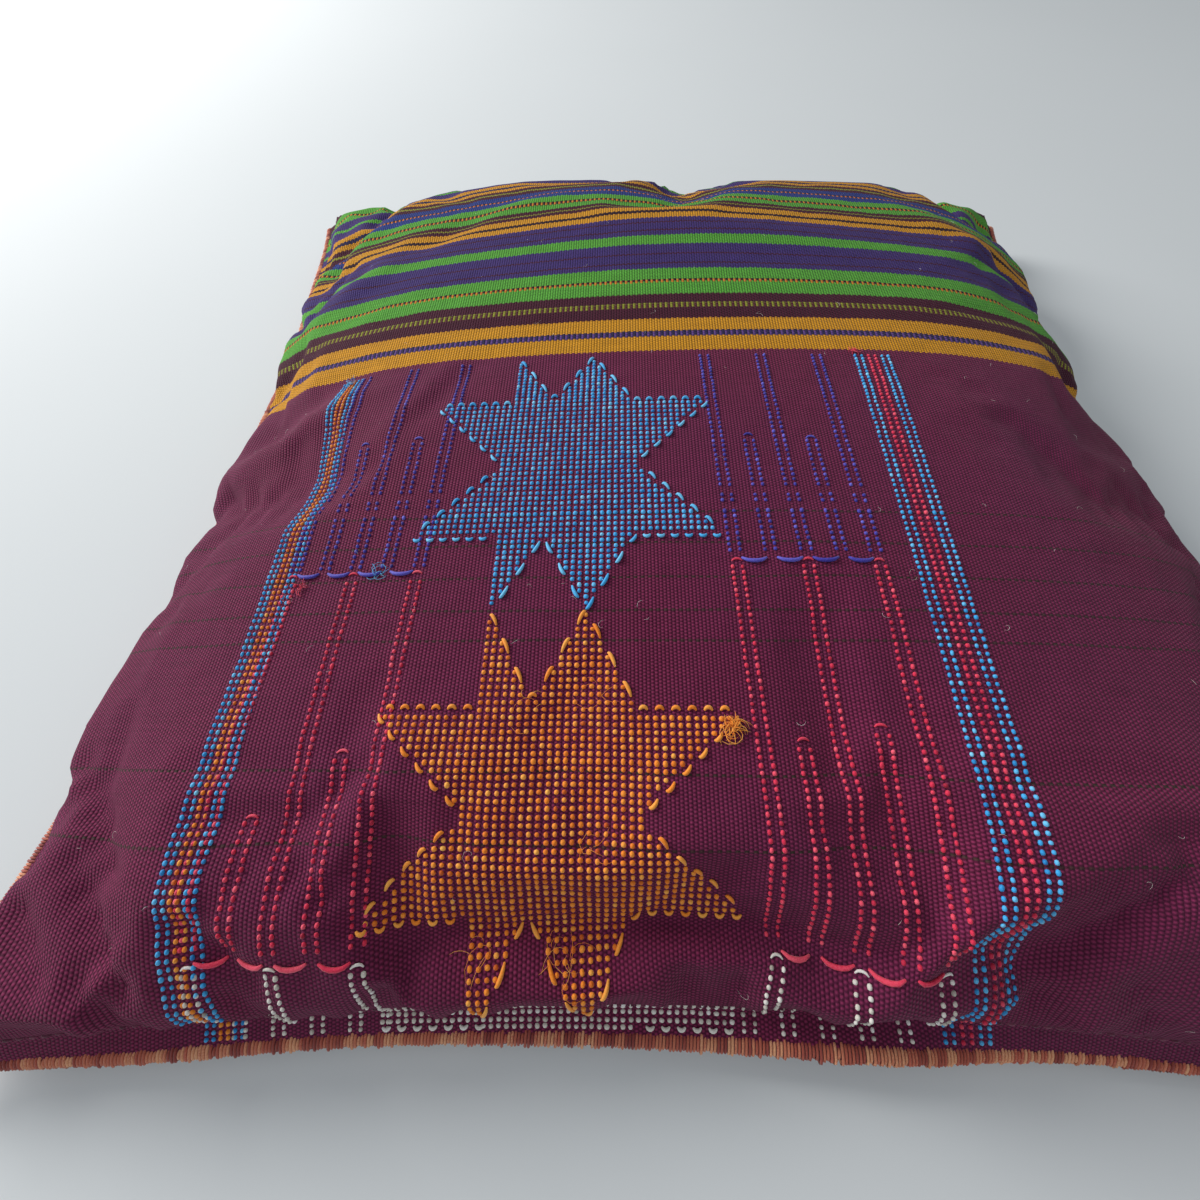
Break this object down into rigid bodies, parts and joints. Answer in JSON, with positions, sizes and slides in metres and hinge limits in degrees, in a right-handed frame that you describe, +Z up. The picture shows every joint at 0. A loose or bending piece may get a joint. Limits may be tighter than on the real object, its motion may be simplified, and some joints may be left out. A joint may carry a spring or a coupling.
{
  "type": "floor cushion",
  "caption": "Square stuffed floor cushion with a brocaded handwoven cover, a flange with an overcast edge, a rear zip and a removable inner pad.",
  "frame": {"origin": "centre of the flat base, at floor level", "axes": "+Z up, -Y towards the front edge, +Y towards the zip, X along the width"},
  "size_m": [0.5538, 0.54, 0.084],
  "materials": {
    "brocade": "matt ribbed cotton with brocaded floats and stripes",
    "backing": "matt plain ribbed cotton",
    "overcast_thread": "wrapped cotton thread, variegated rust and peach",
    "calico": "unbleached plain weave",
    "fibre": "loose fibre stuffing",
    "zip_tape": "matt woven tape",
    "zip_teeth": "moulded satin plastic",
    "zip_metal": "antique brass, lightly worn",
    "pull_metal": "antique brass, polished by handling"
  },
  "bodies": {
    "cushion": {"top_panel": "brocade", "bottom_panel": "backing", "edge_binding": "overcast_thread", "insert_casing_top": "calico", "insert_casing_bottom": "calico", "filling": "fibre", "zip_tape_upper": "zip_tape", "zip_tape_lower": "zip_tape", "zip_teeth_upper": "zip_teeth", "zip_teeth_lower": "zip_teeth", "zip_top_stop_upper": "zip_metal", "zip_top_stop_lower": "zip_metal", "zip_bottom_stop": "zip_metal"},
    "slider": {"zip_slider": "zip_metal"},
    "pull": {"zip_pull_tab": "pull_metal"}
  },
  "joints": [
    {"name": "zip_slide", "type": "slide", "parent": "cushion", "child": "slider", "axis": [1, 0, 0], "range_m": [-0.3745, 0]},
    {"name": "pull_hinge", "type": "hinge", "parent": "slider", "child": "pull", "pos_m": [0.18725, 0.2484, 0.024], "axis": [0, 0, 1], "range_deg": [0, 180]}
  ]
}
